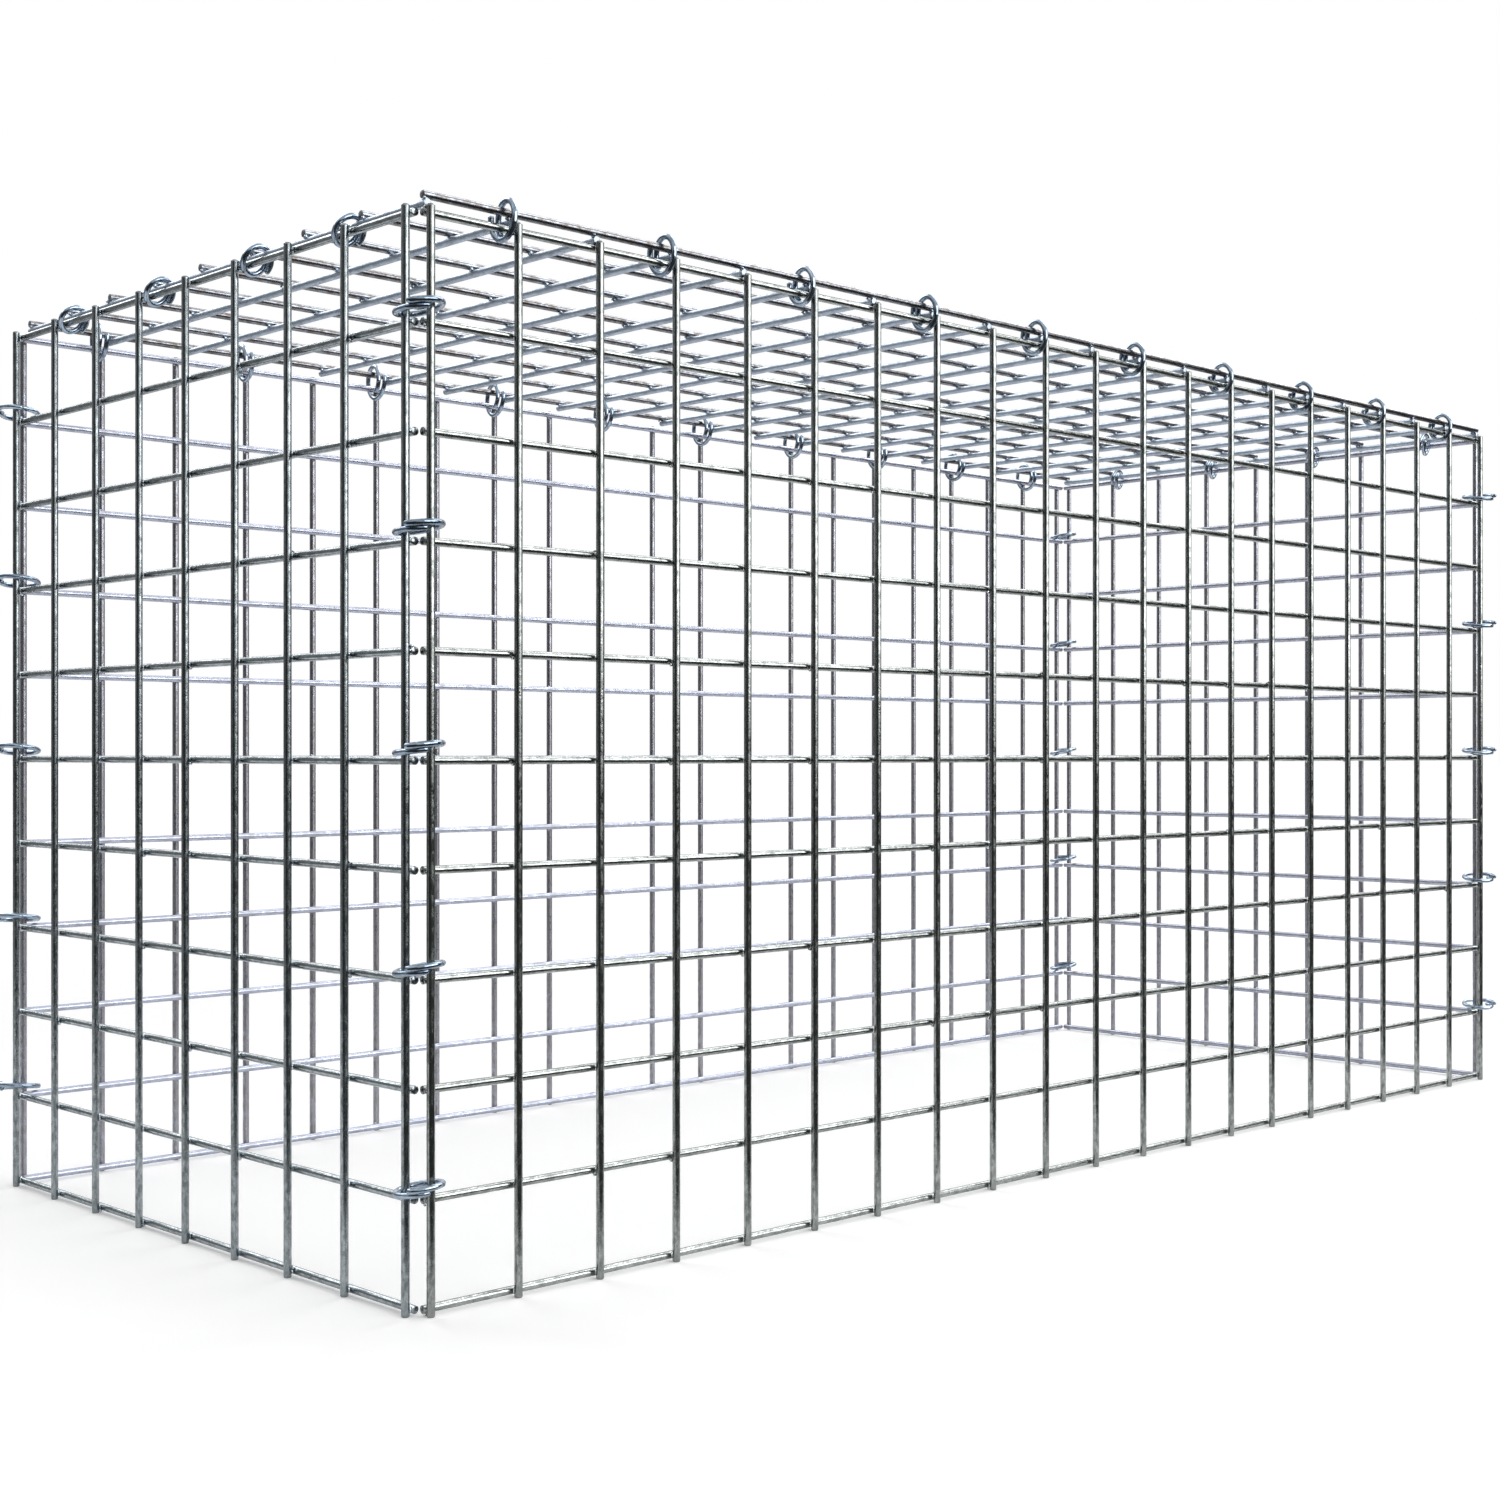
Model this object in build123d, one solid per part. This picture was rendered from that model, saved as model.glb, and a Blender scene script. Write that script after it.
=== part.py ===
from build123d import *
from math import cos, hypot, radians, sin, tan
import os

# Gabion basket: four welded wire mesh walls and a mesh lid, held edge to edge by closed C-rings.
# X runs along the length, -Y is the long front wall and Z is up.
# The origin is on the ground, midway between the walls.
# There is no floor: this kind stands on the filled basket below it, and is filled with stone from above.

# Mesh
mesh = 50.0  # from wire to wire, both ways
cells_along = 20
cells_across = 8
cells_up = 10

# Mesh wire, drawn with flats so that wires lie flat against each other where they are welded
wire = 4.0  # across flats
wire_sides = 8
level_trim = 2.0  # a level wire's tip past the middle of the last upright
upright_trim = 3.0  # an upright's tip past the middle of the last level wire
lid_trim = 2.0  # a lid wire's tip past the middle of the last wire that it crosses
tip_gap = 0.2  # from a wire's tip to the panel beside it

# C-rings, a little over one turn of thinner wire
ring_wire = 3.0  # across flats
ring_sides = 6
ring_steps = 10  # straight runs in one full turn
ring_runs = 12  # straight runs in all, so that the two ends lie side by side
ring_end_gap = 0.3  # between the two ends where they pass
ring_hold_gap = 0.25  # from the ring's eye to the two wires that it holds
ring_rest_gap = 0.3  # from the ring to the wire that it lies against
corner_ring_lean = 8.0  # degrees from level
edge_ring_turn = 10.0  # degrees from square to the edge
corner_ring_start = -171.0  # where the upper end lies, in degrees round the uprights from X
edge_ring_start = 158.0  # where the rising end lies, in degrees from straight out towards the top
cells_per_ring = 2  # one ring at every second wire

# Worked out from the values above
length = mesh * cells_along
depth = mesh * cells_across
height = mesh * cells_up
wire_corner = wire / 2 / cos(radians(180 / wire_sides))
ring_corner = ring_wire / 2 / cos(radians(180 / ring_sides))
ring_rise = (2 * ring_corner + ring_end_gap) / ring_steps  # sideways shift of each straight run
level_out = level_trim + wire / 2 + tip_gap  # a level wire's middle past the grid lines
upright_out = level_out + wire  # an upright's middle past the grid lines, outside the level wires
low_level = upright_trim  # the walls stand on their uprights' lower tips
top_level = low_level + height
lid_cross = top_level + wire  # the lid's crosswise wires lie on the walls' top wires
lid_long = lid_cross + wire  # its lengthwise wires lie on the crosswise ones
lid_forward = upright_out - wire / 2 - tip_gap - lid_trim  # pushed up against the front uprights

AXES = {"X": (1, 0, 0), "Y": (0, 1, 0), "Z": (0, 0, 1)}


def section(across, sides):
    """A wire's section, with a flat facing each way along its plane."""
    corner = across / 2 / cos(radians(180 / sides))
    return RegularPolygon(corner, sides, rotation=180 / sides)


def straight_wire(middle, axis, span):
    """One cut length of mesh wire along X, Y or Z."""
    plane = Plane(middle, x_dir=AXES["X" if axis == "Z" else "Z"], z_dir=AXES[axis])
    return extrude(plane * section(wire, wire_sides), span / 2, both=True)


def grid(cells):
    """Places of the grid lines on either side of the middle."""
    return [mesh * (i - cells / 2) for i in range(cells + 1)]


def wall(name, cells, half_apart, turn):
    """A wall panel: uprights outside, level wires inside, turned about Z to its side of the basket."""
    uprights = [
        straight_wire((x, -half_apart - upright_out, low_level + height / 2), "Z", height + 2 * upright_trim)
        for x in grid(cells)
    ]
    levels = [
        straight_wire((0, -half_apart - level_out, low_level + mesh * k), "X", mesh * cells + 2 * level_trim)
        for k in range(cells_up + 1)
    ]
    return Compound(label=name, children=[Rot(Z=turn) * piece for piece in uprights + levels])


def lid():
    """The lid panel: crosswise wires underneath, lengthwise wires on top of them."""
    crosswise = [
        straight_wire((x, -lid_forward, lid_cross), "Y", depth + 2 * lid_trim) for x in grid(cells_along)
    ]
    lengthwise = [
        straight_wire((0, y - lid_forward, lid_long), "X", length + 2 * lid_trim) for y in grid(cells_across)
    ]
    return Compound(label="lid_panel", children=crosswise + lengthwise)


def ring_shift(runs):
    """How far along its axis the ring's wire lies from the ring's middle, this many runs from its start."""
    return ring_rise * (ring_runs / 2 - runs)


def c_ring(eye, start):
    """A closed C-ring about Z that clears a circle of radius eye, its wire falling as it turns."""
    middle = (eye + ring_wire / 2) / cos(radians(180 / ring_steps))
    points = []
    for k in range(ring_runs + 1):
        angle = radians(start + 360 / ring_steps * k)
        points.append((middle * cos(angle), middle * sin(angle), ring_shift(k)))
    path = Polyline(*points)
    facing = radians(start + 180 / ring_steps)
    end = Plane(points[0], x_dir=(cos(facing), sin(facing), 0), z_dir=path % 0)
    return sweep(end * section(ring_wire, ring_sides), path=path, transition=Transition.RIGHT)


def eye_for(across, along, lean):
    """The eye that holds two wires this far apart, when the ring leans by this angle across them."""
    shrink = cos(radians(lean))
    slip = (ring_rise * ring_runs / 2 + ring_corner / 2) * tan(radians(lean))
    return hypot(across / 2 / shrink + slip, along / 2) + wire_corner / shrink + ring_hold_gap


def corner_ring():
    """A ring for the two uprights of the front left corner, and how far it lies over a level wire."""
    eye = eye_for(hypot(upright_out, upright_out), 0, corner_ring_lean)
    ring = c_ring(eye, corner_ring_start).rotate(Axis((0, 0, 0), (1, 1, 0)), -corner_ring_lean)
    reach = (eye + ring_wire / 2) * sin(radians(corner_ring_lean)) * cos(radians(45))
    over_front = ring_shift((0 - corner_ring_start) * ring_steps / 360) + reach
    over_end = ring_shift((90 - corner_ring_start) * ring_steps / 360) - reach
    lowest = min(over_front, over_end) - ring_corner / cos(radians(corner_ring_lean))
    return ring, wire / 2 + ring_rest_gap - lowest


def edge_ring(out, wall_wire, lid_wire, turn, beside_wires, side):
    """A ring round a wall's top wire and the lid's edge wire.

    out points away from the basket. wall_wire and lid_wire are distances out from the middle, with heights.
    The ring lies clear of the wires at these places along X or Y: below them all for side -1, above for 1.
    """
    eye = eye_for(wall_wire[0] - lid_wire[0], lid_wire[1] - wall_wire[1], edge_ring_turn)
    far = (wall_wire[0] + lid_wire[0]) / 2
    plane = Plane(
        (out[0] * far, out[1] * far, (wall_wire[1] + lid_wire[1]) / 2),
        x_dir=(out[0], out[1], 0),
        z_dir=(out[1], -out[0], 0),
    )
    ring = plane * Rot(Y=turn) * c_ring(eye, edge_ring_start)
    box = ring.bounding_box()
    near, far = (box.min.X, box.max.X) if out[0] == 0 else (box.min.Y, box.max.Y)
    clear = wire / 2 + ring_rest_gap
    shift = min(beside_wires) - clear - far if side < 0 else max(beside_wires) + clear - near
    return Pos(*(shift * abs(out[1]), shift * abs(out[0]), 0)) * ring


# Panels
parts = {
    "front_panel": wall("front_panel", cells_along, depth / 2, 0),
    "back_panel": wall("back_panel", cells_along, depth / 2, 180),
    "left_end_panel": wall("left_end_panel", cells_across, length / 2, -90),
    "right_end_panel": wall("right_end_panel", cells_across, length / 2, 90),
    "lid_panel": lid(),
}

# Corner rings, one just over every second level wire, turned to each corner
ring, lift = corner_ring()
corner_x = length / 2 + upright_out / 2
corner_y = depth / 2 + upright_out / 2
corners = {
    "front_left": Pos(-corner_x, -corner_y, lift) * ring,
    "front_right": Pos(corner_x, -corner_y, lift) * Rot(Z=90) * ring,
    "back_left": Pos(-corner_x, corner_y, lift) * Rot(Z=-90) * ring,
    "back_right": Pos(corner_x, corner_y, lift) * ring.mirror(Plane((0, 0, 0), z_dir=(1, 1, 0))),
}
for corner, ring in corners.items():
    for number, k in enumerate(range(1, cells_up, cells_per_ring), 1):
        parts[f"ring_{corner}_{number}"] = Pos(0, 0, low_level + mesh * k) * ring

# Edge rings of the lid, one against every second wire that crosses the edge
long_places = grid(cells_along)[1::cells_per_ring]
deep_places = grid(cells_across)[1::cells_per_ring]
long_wall_wire = (depth / 2 + level_out, top_level)
end_wall_wire = (length / 2 + level_out, top_level)
front_wire = (depth / 2 + lid_forward, lid_long)
back_wire = (depth / 2 - lid_forward, lid_long)
end_wire = (length / 2, lid_cross)
for number, x in enumerate(long_places, 1):
    turned = -edge_ring_turn
    parts[f"ring_top_front_{number}"] = edge_ring((0, -1), long_wall_wire, front_wire, turned, [x], -1)
    parts[f"ring_top_back_{number}"] = edge_ring((0, 1), long_wall_wire, back_wire, turned, [x], -1)
for number, y in enumerate(deep_places, 1):
    turned = edge_ring_turn
    wires = [y, y - lid_forward]
    left_side = 1 if number == 1 else -1
    parts[f"ring_top_left_{number}"] = edge_ring((-1, 0), end_wall_wire, end_wire, turned, wires, left_side)
    parts[f"ring_top_right_{number}"] = edge_ring((1, 0), end_wall_wire, end_wire, turned, wires, -1)

os.makedirs("parts", exist_ok=True)
for node, shape in parts.items():
    export_step(shape, f"parts/{node}.step")
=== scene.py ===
import math
import random

import bpy
from mathutils import Matrix, Vector


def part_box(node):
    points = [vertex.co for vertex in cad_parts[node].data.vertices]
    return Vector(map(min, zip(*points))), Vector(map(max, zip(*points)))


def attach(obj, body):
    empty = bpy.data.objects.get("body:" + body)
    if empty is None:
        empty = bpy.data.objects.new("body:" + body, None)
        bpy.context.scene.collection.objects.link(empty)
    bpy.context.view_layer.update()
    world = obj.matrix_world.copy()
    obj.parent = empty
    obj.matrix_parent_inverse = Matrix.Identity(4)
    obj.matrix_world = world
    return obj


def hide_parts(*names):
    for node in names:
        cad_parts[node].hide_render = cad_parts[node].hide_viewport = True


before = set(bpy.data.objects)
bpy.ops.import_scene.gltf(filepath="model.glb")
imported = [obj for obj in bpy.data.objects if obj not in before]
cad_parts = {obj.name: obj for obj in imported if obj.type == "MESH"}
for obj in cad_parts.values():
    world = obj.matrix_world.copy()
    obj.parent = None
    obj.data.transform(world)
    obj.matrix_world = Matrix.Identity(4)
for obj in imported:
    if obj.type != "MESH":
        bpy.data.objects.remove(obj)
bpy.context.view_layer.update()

# Camera, level with the middle of the basket and near its left front corner
# A moderately long lens, with the small shift that the photograph's framing needs
lens = bpy.data.cameras.new("camera")
lens.sensor_width = 36.0
lens.lens = 50.18
lens.shift_x = 0.0006
lens.shift_y = 0.0027
camera = bpy.data.objects.new("camera", lens)
camera.location = (-1.05569, -0.99230, 0.25596)
camera.rotation_euler = (math.radians(90), 0, math.radians(-43.98))
bpy.context.scene.collection.objects.link(camera)
bpy.context.scene.camera = camera

# Front wall: a long panel of straight, zinc-coated steel wire
# 21 uprights stand outside and 11 level wires run inside them, cut to length and spot-welded
# at every crossing, where a little metal is squeezed out between the two wires
wall_low, wall_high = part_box("front_panel")
mesh_pitch = 0.05
wire_r = (wall_high.y - wall_low.y) / 4
wire_sides = 14
level_trim = 0.002  # a level wire's tip past the middle of the last upright
upright_trim = 0.003  # an upright's tip past the middle of the last level wire
end_chamfer = 0.0005
tip_share = 0.82  # a bevelled tip's radius against the wire's
points_beside_weld = (-0.008, -0.004, -0.0018, 0.0, 0.0018, 0.004, 0.008)
weld_reach = 0.0025  # how far the burnt spot fades out along the wire
shade_play = 0.05  # how far a wire's shade may be from that of its panel's other wires
crisp_angle = 50  # degrees from which an edge of the wire stays crisp
grain_span = 50  # metres of grain, in which each wire starts at a place of its own
dice = random.Random(4)


class WireMesh:
    """Collects the faces of many wires and welds, with each point's place along its wire."""

    def __init__(self):
        self.points, self.faces, self.grain, self.weld, self.tone = [], [], [], [], []
        self.shade = 0.0

    def add_ring(self, middle, side, up, radius, along, start, weld, count):
        """One ring of points round a wire's middle line; returns the first point's number."""
        first = len(self.points)
        for n in range(count):
            turn = 2 * math.pi * n / count
            a, b = math.cos(turn), math.sin(turn)
            self.points.append(middle + (side * a + up * b) * radius)
            self.grain.append((start + along, a * radius, b * radius))
            self.weld.append(weld)
            self.tone.append(self.shade)
        return first

    def join_rings(self, first, second, count):
        for n in range(count):
            m = (n + 1) % count
            self.faces.append((first + n, first + m, second + m, second + n))

    def close_ring(self, first, count, forward):
        ring = [first + n for n in range(count)]
        self.faces.append(ring if forward else ring[::-1])

    def to_object(self, name, material):
        data = bpy.data.meshes.new(name)
        data.from_pydata([tuple(p) for p in self.points], [], self.faces)
        data.polygons.foreach_set("use_smooth", [True] * len(data.polygons))
        data.set_sharp_from_angle(angle=math.radians(crisp_angle))
        grain = data.attributes.new("grain", "FLOAT_VECTOR", "POINT")
        grain.data.foreach_set("vector", [v for point in self.grain for v in point])
        weld = data.attributes.new("weld", "FLOAT", "POINT")
        weld.data.foreach_set("value", self.weld)
        tone = data.attributes.new("tone", "FLOAT", "POINT")
        tone.data.foreach_set("value", self.tone)
        data.materials.append(material)
        data.validate()
        piece = bpy.data.objects.new(name, data)
        bpy.context.scene.collection.objects.link(piece)
        return piece


def straight_wire(mesh, start, end, crossings, shade):
    """A cut length of wire with bevelled ends, closer points beside each weld, and the given shade, which
    holds painted light and shade, varied a little at random.
    """
    way = end - start
    length = way.length
    way = way / length
    up = Vector((0, 0, 1)) if abs(way.z) < 0.5 else Vector((1, 0, 0))
    side = way.cross(up)
    places = {0.0, end_chamfer, length - end_chamfer, length}
    for at in crossings:
        for step in points_beside_weld:
            places.add(round(at + step, 6))
    for before, after in zip(crossings, crossings[1:]):
        places.add(round((before + after) / 2, 6))
    places = sorted(p for p in places if 0 <= p <= length)
    shift = dice.uniform(0, grain_span)
    mesh.shade = shade + dice.uniform(-shade_play, shade_play)
    last = None
    for place in places:
        near = min(abs(place - at) for at in crossings)
        radius = wire_r * (tip_share if place in (0.0, length) else 1.0)
        weld = math.exp(-((near / weld_reach) ** 2))
        ring = mesh.add_ring(start + way * place, side, up, radius, place, shift, weld, wire_sides)
        if last is None:
            mesh.close_ring(ring, wire_sides, False)
        else:
            mesh.join_rings(last, ring, wire_sides)
        last = ring
    mesh.close_ring(last, wire_sides, True)


bead_rings = 4
bead_sides = 9
bead_highlight_tone = 1.2  # beads take the lightest zinc, a painted highlight brighter than any wire, which also tells a bead from a wire
bead_wide = wire_r * 0.82
bead_high = wire_r * 0.42
bead_rough = 0.14  # how far its outline may be from round, as a share
splash_rough = 0.2
splash_size = (0.34, 0.52)  # against the wire's radius, as are the next two
splash_aside = 1.05
splash_away = (0.9, 1.0)
wall_splash = 0.3  # the share of a wall's welds that have a curl of splash


def weld_bead(mesh, middle, first_way, second_way, through, wide, high, rough):
    """A lump of squeezed-out metal, flattened between the two wires that it joins, coloured with the
    lightest zinc as a painted highlight.
    """
    shift = dice.uniform(0, grain_span)
    last = None
    for k in range(1, bead_rings + 1):
        fall = math.pi * k / (bead_rings + 1)
        start = len(mesh.points)
        for n in range(bead_sides):
            turn = 2 * math.pi * n / bead_sides
            reach = wide * math.sin(fall) * (1 + dice.uniform(-rough, rough))
            point = first_way * (math.cos(turn) * reach) + second_way * (math.sin(turn) * reach)
            point = point + through * (math.cos(fall) * high)
            mesh.points.append(middle + point)
            mesh.grain.append((shift, point.x, point.y))
            mesh.weld.append(0.0)
            mesh.tone.append(bead_highlight_tone)
        if last is None:
            mesh.close_ring(start, bead_sides, False)
        else:
            mesh.join_rings(last, start, bead_sides)
        last = start
    mesh.close_ring(last, bead_sides, True)


def weld_grid(mesh, corner, first_way, first_count, second_way, second_count, through, splash):
    """A weld at every crossing of a grid of wires, with a curl of splash beside this share of them."""
    for i in range(first_count):
        for k in range(second_count):
            at = corner + first_way * (mesh_pitch * i) + second_way * (mesh_pitch * k)
            weld_bead(mesh, at, first_way, second_way, through, bead_wide, bead_high, bead_rough)
            if dice.random() < splash:
                beside = second_way * (dice.choice((-1, -1, 1)) * splash_aside) - first_way
                size = wire_r * dice.uniform(*splash_size)
                curl = at + beside * wire_r * dice.uniform(*splash_away)
                weld_bead(mesh, curl, first_way, second_way, through, size, size, splash_rough)


def feed(tree, place, value):
    """Gives a node's input a number, a colour or what another node puts out."""
    if isinstance(value, (int, float, tuple)):
        place.default_value = value
    else:
        tree.links.new(value, place)


def combine(tree, operation, *values):
    """Two or three values made into one."""
    total = tree.nodes.new("ShaderNodeMath")
    total.operation = operation
    for place, value in zip(total.inputs, values):
        feed(tree, place, value)
    return total.outputs["Value"]


def spread(tree, value, low, high, to_low=0.0, to_high=1.0, pace="LINEAR"):
    """The value's range from low to high, spread over another range."""
    ranged = tree.nodes.new("ShaderNodeMapRange")
    ranged.interpolation_type = pace
    limits = {"From Min": low, "From Max": high, "To Min": to_low, "To Max": to_high}
    for name, limit in limits.items():
        ranged.inputs[name].default_value = limit
    tree.links.new(value, ranged.inputs["Value"])
    return ranged.outputs["Result"]


def blend(tree, kind, factor, first, second, way="MIX"):
    """Goes from the first value or colour to the second as the factor goes from 0 to 1."""
    mix = tree.nodes.new("ShaderNodeMix")
    mix.data_type = kind
    mix.blend_type = way
    for name, value in (("Factor", factor), ("A", first), ("B", second)):
        feed(tree, mix.inputs[name], value)
    return mix.outputs["Result"]


def zinc_coat_group():
    """Mottled zinc with fine lines along the drawn wire, its shade from each wire's tone, which holds
    painted light and shade, and a spot round each weld in the weld colour: burnt zinc on the walls, a
    painted highlight on the lid.
    """
    group = bpy.data.node_groups.new("zinc_coat", "ShaderNodeTree")
    for way, kind, names in (
        ("INPUT", "NodeSocketColor", ("Light zinc", "Dark zinc", "Weld burn and highlight")),
        ("INPUT", "NodeSocketFloat", ("Smoothest", "Roughest", "Pale dullness")),
        ("OUTPUT", "NodeSocketColor", ("Color",)),
        ("OUTPUT", "NodeSocketFloat", ("Roughness", "Height")),
    ):
        for name in names:
            group.interface.new_socket(name=name, socket_type=kind, in_out=way)
    given = group.nodes.new("NodeGroupInput").outputs
    result = group.nodes.new("NodeGroupOutput").inputs

    def stored(name, output):
        """What each point of the mesh keeps under this name."""
        kept = group.nodes.new("ShaderNodeAttribute")
        kept.attribute_name = name
        return kept.outputs[output]

    def noise(stretch, scale, detail, roughness):
        """A pattern that follows the grain, stretched along the wire."""
        stretched = group.nodes.new("ShaderNodeMapping")
        stretched.inputs["Scale"].default_value = stretch
        group.links.new(grain, stretched.inputs["Vector"])
        field = group.nodes.new("ShaderNodeTexNoise")
        field.inputs["Scale"].default_value = scale
        field.inputs["Detail"].default_value = detail
        field.inputs["Roughness"].default_value = roughness
        group.links.new(stretched.outputs["Vector"], field.inputs["Vector"])
        return field.outputs["Fac"]

    grain = stored("grain", "Vector")
    weld = stored("weld", "Fac")
    tone = stored("tone", "Fac")
    mottle = noise(stretch=(1, 2, 2), scale=210, detail=3, roughness=0.65)
    lines = noise(stretch=(1, 40, 40), scale=22, detail=2, roughness=0.5)
    specks = noise(stretch=(1, 1, 1), scale=900, detail=2, roughness=0.7)

    # Colour: the wire's tone, which holds painted light and shade, with mottle and specks, darker lines,
    # and the weld spots: burnt zinc on the walls, a painted highlight on the lid
    line_strength = 0.35
    shade = combine(group, "ADD", tone, spread(group, mottle, 0.3, 0.7, to_low=-0.22, to_high=0.3))
    shade = combine(group, "ADD", shade, spread(group, specks, 0.62, 0.76, to_high=0.22))
    zinc = blend(group, "RGBA", spread(group, shade, 0.0, 1.0), given["Dark zinc"], given["Light zinc"])
    dark_lines = spread(group, lines, 0.35, 0.6, to_low=0.7)
    lined = blend(group, "RGBA", line_strength, zinc, dark_lines, "MULTIPLY")
    weld_burn_and_highlight = combine(group, "MULTIPLY", weld, spread(group, mottle, 0.3, 0.6, to_high=0.5))
    colour = blend(group, "RGBA", weld_burn_and_highlight, lined, given["Weld burn and highlight"])
    group.links.new(colour, result["Color"])

    # Roughness: it follows the mottle, weld spots are duller, and so are pale wires, but not beads
    burnt_dullness = 0.2
    shine = blend(group, "FLOAT", spread(group, mottle, 0.38, 0.6), given["Roughest"], given["Smoothest"])
    dulled = combine(group, "MULTIPLY_ADD", weld_burn_and_highlight, burnt_dullness, shine)
    pale = spread(group, tone, 0.1, 0.95)
    no_bead = spread(group, tone, 1.05, 1.15, to_low=1.0, to_high=0.0)
    pale_wire = combine(group, "MULTIPLY", pale, no_bead)
    matt = combine(group, "MULTIPLY_ADD", pale_wire, given["Pale dullness"], dulled)
    group.links.new(matt, result["Roughness"])

    # Height: drawn lines and specks on the mottle
    fine_height = 0.35
    fine_lines = spread(group, lines, 0.0, 1.0, to_high=fine_height)
    fine_specks = spread(group, specks, 0.0, 1.0, to_high=fine_height)
    fine = combine(group, "ADD", fine_lines, fine_specks)
    height = combine(group, "ADD", fine, spread(group, mottle, 0.2, 0.8))
    group.links.new(height, result["Height"])
    return group


zinc_coat = zinc_coat_group()


def zinc_material(name, light, dark, weld_burn_and_highlight, smoothest, roughest, pale_dullness=0.0):
    """Zinc-coated steel: all metal, its colour and shine from the zinc coat."""
    material = bpy.data.materials.new(name)
    material.use_nodes = True
    nodes, links = material.node_tree.nodes, material.node_tree.links
    surface = nodes["Principled BSDF"]
    surface.inputs["Metallic"].default_value = 1.0
    coat = nodes.new("ShaderNodeGroup")
    coat.node_tree = zinc_coat
    coat.inputs["Light zinc"].default_value = (*light, 1)
    coat.inputs["Dark zinc"].default_value = (*dark, 1)
    coat.inputs["Weld burn and highlight"].default_value = (*weld_burn_and_highlight, 1)
    coat.inputs["Smoothest"].default_value = smoothest
    coat.inputs["Roughest"].default_value = roughest
    coat.inputs["Pale dullness"].default_value = pale_dullness
    relief = nodes.new("ShaderNodeBump")
    relief.inputs["Strength"].default_value = 0.5
    relief.inputs["Distance"].default_value = 0.0001
    links.new(coat.outputs["Color"], surface.inputs["Base Color"])
    links.new(coat.outputs["Roughness"], surface.inputs["Roughness"])
    links.new(coat.outputs["Height"], relief.inputs["Height"])
    links.new(relief.outputs["Normal"], surface.inputs["Normal"])
    return material


def wall_mesh(name, low, high, zinc, upright_shade, level_shade):
    """A wall panel that fills this box: uprights on its outer face, level wires on its inner face, each in
    its given shade, which holds painted light and shade.
    """
    across = Vector((1, 0, 0)) if high.x - low.x > high.y - low.y else Vector((0, 1, 0))
    middle = (low + high) / 2
    outward = Vector((0, middle.y, 0)) if across.x else Vector((middle.x, 0, 0))
    outward.normalize()
    face = middle.dot(outward)
    wide = (high - low).dot(across)
    tall = high.z - low.z
    columns = round((wide - 2 * level_trim) / mesh_pitch) + 1
    rows = round((tall - 2 * upright_trim) / mesh_pitch) + 1
    start = low.dot(across)
    up = Vector((0, 0, 1))
    mesh = WireMesh()
    for i in range(columns):
        foot = outward * (face + wire_r) + across * (start + level_trim + mesh_pitch * i) + up * low.z
        crossings = [upright_trim + mesh_pitch * k for k in range(rows)]
        straight_wire(mesh, foot, foot + up * tall, crossings, upright_shade)
    for k in range(rows):
        tip = outward * (face - wire_r) + across * start
        tip = tip + up * (low.z + upright_trim + mesh_pitch * k)
        crossings = [level_trim + mesh_pitch * i for i in range(columns)]
        straight_wire(mesh, tip, tip + across * wide, crossings, level_shade)
    corner = outward * face + across * (start + level_trim) + up * (low.z + upright_trim)
    weld_grid(mesh, corner, across, columns, up, rows, outward, wall_splash)
    return mesh.to_object(name, zinc)


# The front wall's zinc is painted dark greenish grey, painted shade, with its uprights a touch darker than
# its level wires
front_shaded_zinc = zinc_material(
    "front_shaded_zinc", light=(0.70, 0.72, 0.73), dark=(0.20, 0.22, 0.21), weld_burn_and_highlight=(0.22, 0.23, 0.22),
    smoothest=0.09, roughest=0.28,
)
front_wall = wall_mesh("front_wall", wall_low, wall_high, front_shaded_zinc, upright_shade=0.12, level_shade=0.2)
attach(front_wall, "root")
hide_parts("front_panel")

# Back wall: the same long panel, with its uprights outside too
# Welded galvanised wire, duller, and painted paler, painted light from behind, its level wires painted
# palest and bluish, painted light
back_lit_zinc = zinc_material(
    "back_lit_zinc", light=(0.50, 0.54, 0.66), dark=(0.22, 0.20, 0.185), weld_burn_and_highlight=(0.25, 0.24, 0.24),
    smoothest=0.25, roughest=0.4,
)
back_wall = wall_mesh(
    "back_wall", *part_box("back_panel"), back_lit_zinc, upright_shade=0.3, level_shade=0.75
)
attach(back_wall, "root")
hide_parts("back_panel")

# End walls: two short panels of the same welded wire, 9 uprights each
# They stand between the long walls and meet them upright beside upright at the corners
# The left one's zinc is painted dark like the front's, painted shade, and a little bluer, a painted
# reflection; the right one's is painted as pale as the back's, painted light
left_shaded_blue_zinc = zinc_material(
    "left_shaded_blue_zinc", light=(0.62, 0.68, 0.73), dark=(0.18, 0.205, 0.21), weld_burn_and_highlight=(0.22, 0.24, 0.26),
    smoothest=0.12, roughest=0.3,
)
left_end = wall_mesh(
    "left_end", *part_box("left_end_panel"), left_shaded_blue_zinc, upright_shade=0.12, level_shade=0.25
)
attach(left_end, "root")
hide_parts("left_end_panel")

right_end = wall_mesh(
    "right_end", *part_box("right_end_panel"), back_lit_zinc, upright_shade=0.3, level_shade=0.6
)
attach(right_end, "root")
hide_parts("right_end_panel")

# Lid: a flat panel of the same wire, 21 crosswise wires below and 9 lengthwise wires above
# It lies on the long walls' top wires, pushed up against the front uprights' tips
# Its crosswise wires are painted pale, a painted reflection of the white floor, and are a little dull; its
# lengthwise wires are painted dark brown, a painted reflection of dark ground; its weld spots are painted
# light, a painted highlight; and most of its welds have a curl of splash
lid_low, lid_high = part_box("lid_panel")
lid_trim = 0.002  # a lid wire's tip past the middle of the last wire that it crosses
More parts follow.
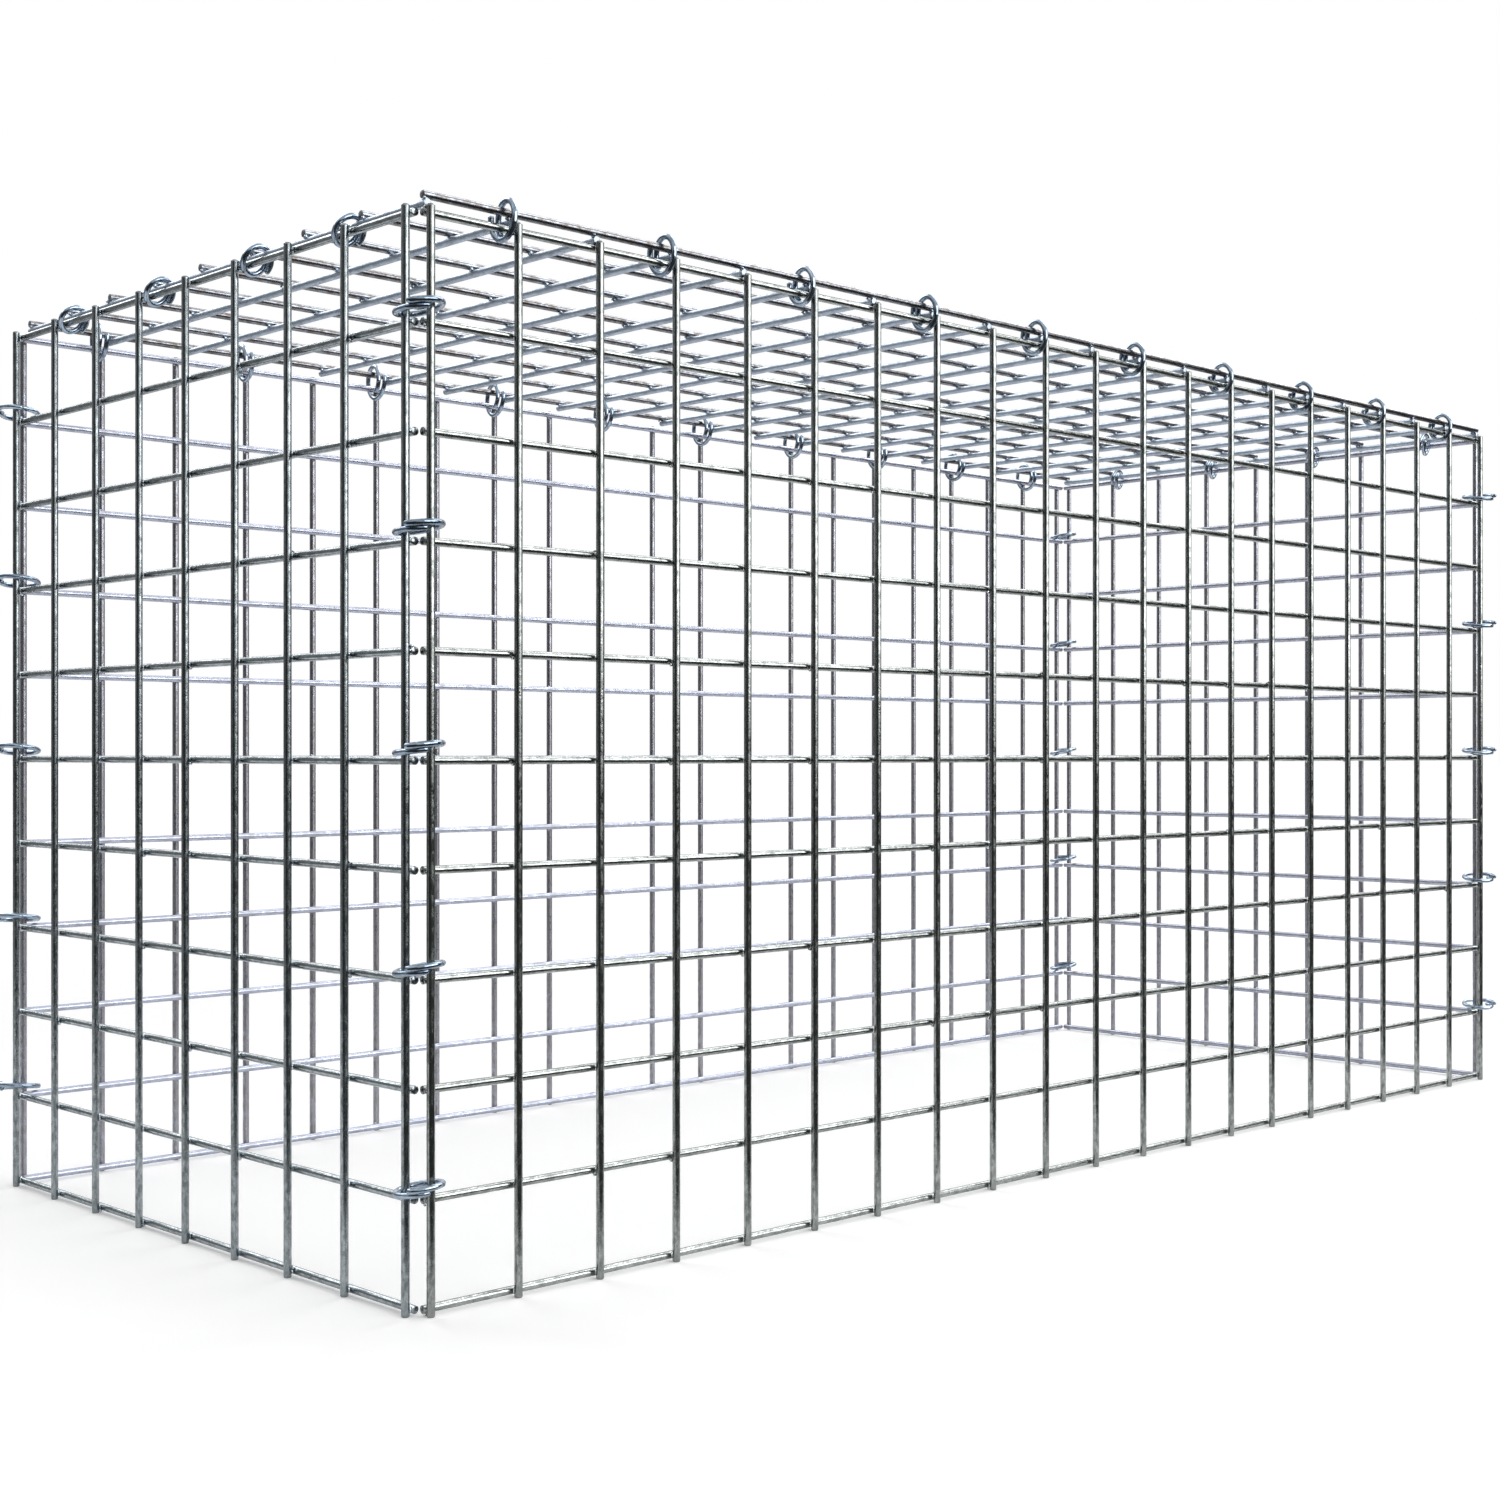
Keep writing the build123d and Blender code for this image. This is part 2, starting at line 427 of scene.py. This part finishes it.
# The crosswise wires' pale shade is a painted reflection of the white floor, the lengthwise wires' dark
# shade a painted reflection of dark ground
cross_reflection_shade = 0.95
long_reflection_shade = 0.15
lid_splash = 0.9
# Its weld colour is light, a painted highlight at each crossing
lid_zinc = zinc_material(
    "lid_zinc", light=(0.48, 0.55, 0.64), dark=(0.13, 0.115, 0.11), weld_burn_and_highlight=(0.5, 0.56, 0.62),
    smoothest=0.14, roughest=0.3, pale_dullness=0.3,
)
lid_columns = round((lid_high.x - lid_low.x - 2 * lid_trim) / mesh_pitch) + 1
lid_rows = round((lid_high.y - lid_low.y - 2 * lid_trim) / mesh_pitch) + 1
cross_welds = [lid_trim + mesh_pitch * k for k in range(lid_rows)]
long_welds = [lid_trim + mesh_pitch * i for i in range(lid_columns)]
lid_mesh = WireMesh()
for i in range(lid_columns):
    tip = Vector((lid_low.x + lid_trim + mesh_pitch * i, lid_low.y, lid_low.z + wire_r))
    end = Vector((tip.x, lid_high.y, tip.z))
    straight_wire(lid_mesh, tip, end, cross_welds, cross_reflection_shade)
for k in range(lid_rows):
    tip = Vector((lid_low.x, lid_low.y + lid_trim + mesh_pitch * k, lid_high.z - wire_r))
    end = Vector((lid_high.x, tip.y, tip.z))
    straight_wire(lid_mesh, tip, end, long_welds, long_reflection_shade)
lid_corner = Vector((lid_low.x + lid_trim, lid_low.y + lid_trim, (lid_low.z + lid_high.z) / 2))
weld_grid(
    lid_mesh, lid_corner, Vector((1, 0, 0)), lid_columns, Vector((0, 1, 0)), lid_rows,
    Vector((0, 0, 1)), lid_splash,
)
lid = lid_mesh.to_object("lid", lid_zinc)
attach(lid, "root")
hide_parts("lid_panel")

# Corner rings: closed C-rings of 3 mm bright galvanised wire, five at each corner
# Each is squeezed shut round two uprights until its bevelled ends pass, and lies on the level wires
ring_r = 0.0015
ring_sides = 12
ring_steps = 44  # points of its line in one full turn
ring_slack = 0.0002
ring_shades = (0.25, 0.5)
lap_run = 0.3  # the part of a turn in which the first end comes in to the ring's own line
ring_zinc = zinc_material(
    "ring_zinc", light=(0.56, 0.66, 0.78), dark=(0.09, 0.135, 0.19), weld_burn_and_highlight=(0.56, 0.66, 0.78),
    smoothest=0.08, roughest=0.2,
)


def closed_ring(name, middle, out, up, axis, eye, start, turns, fall, lap, narrow=1.0):
    """A C-ring round a pair of wires: a flat coil of a little over one turn, bevelled at both ends.

    out and up span the ring's plane, angles run from out towards up, and it falls against axis by
    fall in each turn. Its first end passes outside the other by lap. Along out it is only narrow
    times as wide as along up.
    """
    mesh = WireMesh()
    radius = eye + ring_r
    steps = round(ring_steps * turns)
    path = []
    for n in range(steps + 1):
        turned = turns * n / steps
        past = min(1.0, max(0.0, (turned - turns + 1) / lap_run))
        reach = radius + lap * (1 - past * past * (3 - 2 * past))
        turn = math.radians(start + 360 * turned)
        drop = fall * (turns / 2 - turned)
        across = out * (math.cos(turn) * narrow) + up * math.sin(turn)
        path.append(middle + across * reach + axis * drop)
    shift = dice.uniform(0, grain_span)
    mesh.shade = dice.uniform(*ring_shades)
    along = 0.0
    last = None
    for n, point in enumerate(path):
        before, after = path[max(n - 1, 0)], path[min(n + 1, steps)]
        way = (after - before).normalized()
        outward = point - middle
        outward = (outward - way * outward.dot(way)).normalized()
        side = way.cross(outward)
        if n:
            along += (point - path[n - 1]).length
        stops = [(0.0, ring_r)]
        if n == 0:
            stops = [(0.0, ring_r - end_chamfer), (end_chamfer, ring_r)]
        elif n == steps:
            stops = [(-end_chamfer, ring_r), (0.0, ring_r - end_chamfer)]
        for place, size in stops:
            at = point + way * place
            ring = mesh.add_ring(at, side, outward, size, along + place, shift, 0.0, ring_sides)
            if last is None:
                mesh.close_ring(ring, ring_sides, False)
            else:
                mesh.join_rings(last, ring, ring_sides)
            last = ring
    mesh.close_ring(last, ring_sides, True)
    ring = mesh.to_object(name, ring_zinc)
    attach(ring, "root")
    return ring


rings_at_corner = 5
corner_lean = 8.0  # degrees from level
corner_lean_play = 1.2
corner_start = -16.0  # where its first end lies, in degrees from the corner's outward line
corner_start_play = 5
for corner, turned, mirrored in (
    ("front_left", 0, 1), ("front_right", 90, 1), ("back_left", -90, 1), ("back_right", 180, -1)
):
    spin = Matrix.Rotation(math.radians(turned), 3, "Z")
    bisector = spin @ Vector((-1, -1, 0)).normalized()
    pair = spin @ Vector((-1, 1, 0)).normalized() * mirrored
    for number in range(1, rings_at_corner + 1):
        node = f"ring_{corner}_{number}"
        low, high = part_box(node)
        middle = (low + high) / 2
        lean = math.radians(corner_lean + dice.uniform(-corner_lean_play, corner_lean_play))
        leaned = pair * math.cos(lean) - Vector((0, 0, 1)) * math.sin(lean)
        axis = Vector((0, 0, 1)) * math.cos(lean) + pair * math.sin(lean)
        eye = min(high.x - low.x, high.y - low.y) / 2 - 2 * ring_r - ring_slack
        start = corner_start + dice.uniform(-corner_start_play, corner_start_play)
        ring = closed_ring(
            f"corner_ring_{corner}_{number}", middle, bisector, -leaned, axis, eye, start,
            turns=1.14, fall=0.0023, lap=0.0020,
        )
        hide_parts(node)

# Lid rings: the same closed C-rings, standing upright along the lid's four edges
# Each holds one edge wire of the lid and the wall's top wire below it, beside every second upright
# The front ones are squeezed a little oval and sit close to their uprights, and the left ones lean
up = Vector((0, 0, 1))
edge_start = 158.0  # where the first end lies, in degrees from straight out towards the top
edge_start_play = 8
edge_turn_play = 2
edge_lean_play = 3
lid_edges = {
    "front": {
        "count": 10, "out": (0, -1, 0), "turn": -2, "lean": 0,
        "nudge": (0.0018, 0, 0.0004), "taller": 0.001, "narrow": 0.8,
    },
    "back": {
        "count": 10, "out": (0, 1, 0), "turn": 10, "lean": 0,
        "nudge": (0, 0, 0), "taller": 0, "narrow": 1,
    },
    "left": {
        "count": 4, "out": (-1, 0, 0), "turn": -10, "lean": 30,
        "nudge": (0, 0, 0), "taller": 0, "narrow": 1,
    },
    "right": {
        "count": 4, "out": (1, 0, 0), "turn": -10, "lean": -10,
        "nudge": (0, 0, 0), "taller": 0, "narrow": 1,
    },
}
for side, edge in lid_edges.items():
    out = Vector(edge["out"])
    square = out.cross(up)
    for number in range(1, edge["count"] + 1):
        node = f"ring_top_{side}_{number}"
        low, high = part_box(node)
        middle = (low + high) / 2 + Vector(edge["nudge"])
        turn = math.radians(edge["turn"] + dice.uniform(-edge_turn_play, edge_turn_play))
        outward = out * math.cos(turn) + square * math.sin(turn)
        axis = square * math.cos(turn) - out * math.sin(turn)
        lean = math.radians(edge["lean"] + dice.uniform(-edge_lean_play, edge_lean_play))
        rise = up * math.cos(lean) - axis * math.sin(lean)
        axis = axis * math.cos(lean) + up * math.sin(lean)
        eye = (high.z - low.z) / 2 - 2 * ring_r - ring_slack + edge["taller"]
        start = edge_start + dice.uniform(-edge_start_play, edge_start_play)
        ring = closed_ring(
            f"lid_ring_{side}_{number}", middle, outward, rise, axis, eye, start,
            turns=1.18, fall=0.0042, lap=0.0003, narrow=edge["narrow"],
        )
        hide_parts(node)

# Studio floor: white, and so wide that it runs out of sight
# In the metal it is white paper round the basket, and bare, dark floor in front and far off
floor_half = 40
floor_corners = [(-1, -1), (1, -1), (1, 1), (-1, 1)]
paper_white = (0.86, 0.86, 0.86, 1)
room_dark = 0.05  # the dark parts of the room, where white is 1
floor_data = bpy.data.meshes.new("floor")
floor_data.from_pydata([(x * floor_half, y * floor_half, 0) for x, y in floor_corners], [], [(0, 1, 2, 3)])
floor = bpy.data.objects.new("floor", floor_data)
bpy.context.scene.collection.objects.link(floor)
floor_white = bpy.data.materials.new("floor_white")
floor_white.use_nodes = True
paint = floor_white.node_tree.nodes["Principled BSDF"]
paint.inputs["Roughness"].default_value = 1.0
paint.inputs["Specular IOR Level"].default_value = 0.0
paint.inputs["Emission Color"].default_value = (1, 1, 1, 1)


def seen_or_reflected(tree):
    """1 for what the camera sees, straight, in metal or through glass."""
    rays = tree.nodes.new("ShaderNodeLightPath").outputs
    straight_or_metal = combine(tree, "MAXIMUM", rays["Is Camera Ray"], rays["Is Glossy Ray"])
    return combine(tree, "MAXIMUM", straight_or_metal, rays["Is Transmission Ray"])


def fade(tree, value, first, last, start, end):
    """Goes smoothly from start to end while the value goes from first to last."""
    return spread(tree, value, first, last, start, end, "SMOOTHSTEP")


def along_way(tree, vector, way):
    """How far a place or direction lies along this way."""
    part = tree.nodes.new("ShaderNodeVectorMath")
    part.operation = "DOT_PRODUCT"
    part.inputs[1].default_value = Vector(way).normalized()
    tree.links.new(vector, part.inputs[0])
    return part.outputs["Value"]


tree = floor_white.node_tree
place = tree.nodes.new("ShaderNodeNewGeometry").outputs["Position"]
length = tree.nodes.new("ShaderNodeVectorMath")
length.operation = "LENGTH"
tree.links.new(place, length.inputs[0])
distance = length.outputs["Value"]
in_front = fade(tree, along_way(tree, place, (-0.1, -1, 0)), first=0.27, last=0.42, start=0, end=1)
far_off = fade(tree, distance, first=1.0, last=1.7, start=0, end=0.7)
in_metal = tree.nodes.new("ShaderNodeLightPath").outputs["Is Glossy Ray"]
bare_floor = combine(tree, "MULTIPLY", combine(tree, "MAXIMUM", in_front, far_off), in_metal)
floor_dark = (room_dark, room_dark, room_dark, 1)
feed(tree, paint.inputs["Base Color"], blend(tree, "RGBA", bare_floor, paper_white, floor_dark))
far_glow = fade(tree, distance, first=1.0, last=4.0, start=0.28, end=0.42)
paper_left = fade(tree, bare_floor, first=0, last=1, start=1, end=0)
glow = combine(tree, "MULTIPLY", far_glow, paper_left)
feed(tree, paint.inputs["Emission Strength"], combine(tree, "MULTIPLY", seen_or_reflected(tree), glow))
floor_data.materials.append(floor_white)

# Studio surround: plain white to the camera, and a soft, even light on everything
# In the metal it is a room: white overhead, dark at the horizon and to the left and right in front,
# and grey behind on the left
world = bpy.data.worlds.new("surround")
bpy.context.scene.world = world
world.use_nodes = True
tree = world.node_tree
soft_light = tree.nodes["Background"]
soft_light.inputs["Color"].default_value = (1, 1, 1, 1)
soft_light.inputs["Strength"].default_value = 0.2
backdrop = tree.nodes.new("ShaderNodeBackground")
backdrop.inputs["Color"].default_value = (1, 1, 1, 1)
direction = tree.nodes.new("ShaderNodeTexCoord").outputs["Generated"]
rise = along_way(tree, direction, (0, 0, 1))
low_sky = fade(tree, rise, first=0.0, last=0.08, start=room_dark, end=1)
high_sky = fade(tree, rise, first=0.33, last=0.6, start=room_dark, end=1)
left = fade(tree, along_way(tree, direction, (-0.89, -0.45, 0)), 0.80, 0.93, start=1, end=room_dark)
right = fade(tree, along_way(tree, direction, (0.86, -0.51, 0)), 0.90, 0.97, start=1, end=room_dark)
behind = fade(tree, along_way(tree, direction, (-0.77, 0.64, 0)), 0.6, 0.8, start=1, end=0.32)
sides = combine(tree, "MULTIPLY", combine(tree, "MULTIPLY", left, right), behind)
room = combine(tree, "MAXIMUM", combine(tree, "MULTIPLY", low_sky, sides), high_sky)
in_metal = tree.nodes.new("ShaderNodeLightPath").outputs["Is Glossy Ray"]
feed(tree, backdrop.inputs["Strength"], blend(tree, "FLOAT", in_metal, 1.0, room))
shown = tree.nodes.new("ShaderNodeMixShader")
feed(tree, shown.inputs["Fac"], seen_or_reflected(tree))
feed(tree, shown.inputs[1], soft_light.outputs["Background"])
feed(tree, shown.inputs[2], backdrop.outputs["Background"])
feed(tree, tree.nodes["World Output"].inputs["Surface"], shown.outputs["Shader"])

# Studio lamps: two broad distant ones, from the right and from the back, and a softbox in front
# Their light is soft, and at a level at which a colour shows about as it is written
lamp_strength = 1.2
lamp_breadth = 38  # degrees across, seen from the basket


def point_lamp_at(lamp, place, aim):
    lamp.location = place
    lamp.rotation_euler = (Vector(aim) - Vector(place)).to_track_quat("-Z", "Y").to_euler()
    bpy.context.scene.collection.objects.link(lamp)


for name, place in (("right_lamp", (2.7, 0.2, 2.6)), ("back_lamp", (0.0, 2.7, 2.6))):
    distant = bpy.data.lights.new(name, "SUN")
    distant.energy = lamp_strength
    distant.angle = math.radians(lamp_breadth)
    point_lamp_at(bpy.data.objects.new(name, distant), place, (0, 0, 0))

softbox = bpy.data.lights.new("softbox", "AREA")
softbox.shape = "RECTANGLE"
softbox.size = 4.0
softbox.size_y = 2.2
softbox.energy = 100
point_lamp_at(bpy.data.objects.new("softbox", softbox), (0.9, -3.07, 1.45), (0, 0, 0.35))

# A plain view of the colours
bpy.context.scene.view_settings.view_transform = "Standard"
